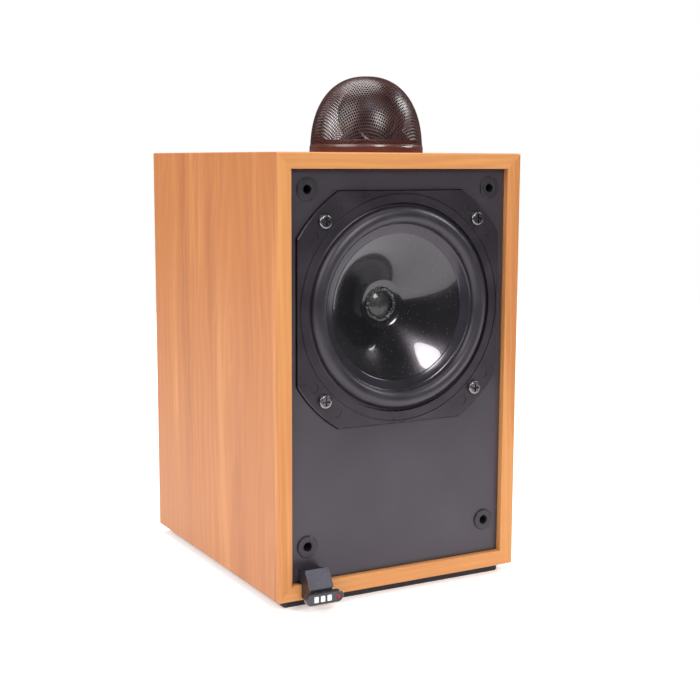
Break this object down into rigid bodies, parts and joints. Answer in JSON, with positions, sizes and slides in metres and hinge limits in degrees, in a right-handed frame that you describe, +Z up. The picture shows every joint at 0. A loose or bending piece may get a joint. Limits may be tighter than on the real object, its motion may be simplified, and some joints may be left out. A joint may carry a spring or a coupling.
{
  "type": "bookshelf speaker",
  "caption": "Two-way bookshelf loudspeaker: wood-veneered box, black baffle with a round woofer, tweeter under a perforated dome on top, rear binding posts.",
  "frame": {"origin": "centre of the base plinth's underside", "axes": "+X to the right as the listener sees it, +Y from front to back, +Z up"},
  "size_m": [0.16, 0.2041, 0.2995],
  "materials": {
    "cherry_veneer": "satin lacquer over veneer",
    "cherry_lipping": "satin lacquer over solid wood",
    "baffle_black": "satin black paint on board",
    "plinth_black": "matt black paint on board",
    "socket_plastic": "moulded, fine grain",
    "frame_plastic": "moulded, slight sheen",
    "gasket_foam": "matt foam",
    "screw_steel": "nickel plated",
    "edge_rubber": "soft sheen",
    "cone_black": "polished",
    "cap_black": "coarse, glossy",
    "clear_glue": "clear, glossy",
    "former_metal": "rolled foil",
    "copper_winding": "enamelled wire",
    "spider_cloth": "resin-stiffened weave",
    "motor_steel": "zinc plated",
    "ferrite": "ground",
    "fibre_strip": "pressed fibre",
    "braid": "tinsel braid",
    "cup_plastic": "moulded, fine grain",
    "gilt_brass": "polished plating",
    "knob_red": "moulded",
    "knob_black": "moulded",
    "circuit_card": "solder resist",
    "capacitor_sleeve": "film wrap",
    "resistor_ceramic": "fired ceramic",
    "relay_case": "moulded",
    "wadding_white": "loose fibre",
    "wire_insulation": "extruded",
    "badge_black": "moulded, polished face",
    "badge_white": "printed",
    "indicator_red": "clear tint",
    "pod_brown": "moulded, polished",
    "mesh_brown": "stove enamel on perforated sheet",
    "cradle_rubber": "moulded",
    "tweeter_plastic": "moulded",
    "dome_metal": "dark anodised"
  },
  "bodies": {
    "cabinet": {"panel_left": "cherry_veneer", "panel_right": "cherry_veneer", "panel_top": "cherry_veneer", "panel_bottom": "cherry_veneer", "panel_back": "cherry_veneer", "edging_left": "cherry_lipping", "edging_right": "cherry_lipping", "edging_top": "cherry_lipping", "edging_bottom": "cherry_lipping", "front_baffle": "baffle_black", "base_plinth": "plinth_black", "grille_sockets": "socket_plastic", "woofer_frame": "frame_plastic", "woofer_gasket": "gasket_foam", "woofer_screws": "screw_steel", "woofer_surround": "edge_rubber", "spider": "spider_cloth", "woofer_top_plate": "motor_steel", "woofer_magnet": "ferrite", "woofer_pole_plate": "motor_steel", "woofer_tag_strip": "fibre_strip", "tinsel_leads": "braid", "terminal_cup": "cup_plastic", "terminal_screws": "screw_steel", "terminal_posts": "gilt_brass", "post_nuts": "gilt_brass", "crossover_board": "circuit_card", "crossover_coils": "copper_winding", "crossover_capacitors": "capacitor_sleeve", "crossover_resistors": "resistor_ceramic", "protection_relay": "relay_case", "board_fixings": "screw_steel", "damping_wadding": "wadding_white", "board_wires": "wire_insulation", "driver_wires": "wire_insulation", "badge_bracket": "badge_black", "badge_cover": "badge_black", "badge_plate": "badge_black", "badge_bars": "badge_white", "indicator_lens": "indicator_red", "pod_base": "pod_brown", "pod_mesh": "mesh_brown", "tweeter_cradle": "cradle_rubber", "tweeter_housing": "tweeter_plastic", "tweeter_faceplate": "tweeter_plastic", "tweeter_surround": "edge_rubber", "tweeter_motor": "motor_steel", "pod_fixings": "screw_steel", "wire_grommet": "cradle_rubber"},
    "woofer_diaphragm": {"woofer_cone": "cone_black", "dust_cap": "cap_black", "glue_ring": "clear_glue", "coil_former": "former_metal", "woofer_coil": "copper_winding"},
    "tweeter_diaphragm": {"tweeter_dome": "dome_metal", "tweeter_coil": "copper_winding"},
    "red_thread": {"red_insert": "gilt_brass"},
    "red_grip": {"red_knob": "knob_red"},
    "black_thread": {"black_insert": "gilt_brass"},
    "black_grip": {"black_knob": "knob_black"}
  },
  "joints": [
    {"name": "woofer_stroke", "type": "slide", "parent": "cabinet", "child": "woofer_diaphragm", "axis": [0, -1, 0], "range_m": [-0.004, 0.004], "stiffness_N_per_m": 1200, "deforming": ["woofer_surround", "spider", "tinsel_leads"]},
    {"name": "tweeter_stroke", "type": "slide", "parent": "cabinet", "child": "tweeter_diaphragm", "axis": [0, -1, 0], "range_m": [-0.0003, 0.0003], "stiffness_N_per_m": 5000, "deforming": ["tweeter_surround"]},
    {"name": "red_knob_travel", "type": "slide", "parent": "cabinet", "child": "red_thread", "axis": [0, 1, 0], "range_m": [0, 0.004]},
    {"name": "red_knob_turn", "type": "hinge", "parent": "red_thread", "child": "red_grip", "pos_m": [0.0095, 0.081, 0.0775], "axis": [0, 1, 0], "range_deg": [0, 1800]},
    {"name": "black_knob_travel", "type": "slide", "parent": "cabinet", "child": "black_thread", "axis": [0, 1, 0], "range_m": [0, 0.004]},
    {"name": "black_knob_turn", "type": "hinge", "parent": "black_thread", "child": "black_grip", "pos_m": [-0.0095, 0.081, 0.0775], "axis": [0, 1, 0], "range_deg": [0, 1800]}
  ],
  "couplings": [
    {"joint": "red_knob_turn", "follows": "red_knob_travel", "rad_per_m": 7854},
    {"joint": "black_knob_turn", "follows": "black_knob_travel", "rad_per_m": 7854}
  ]
}
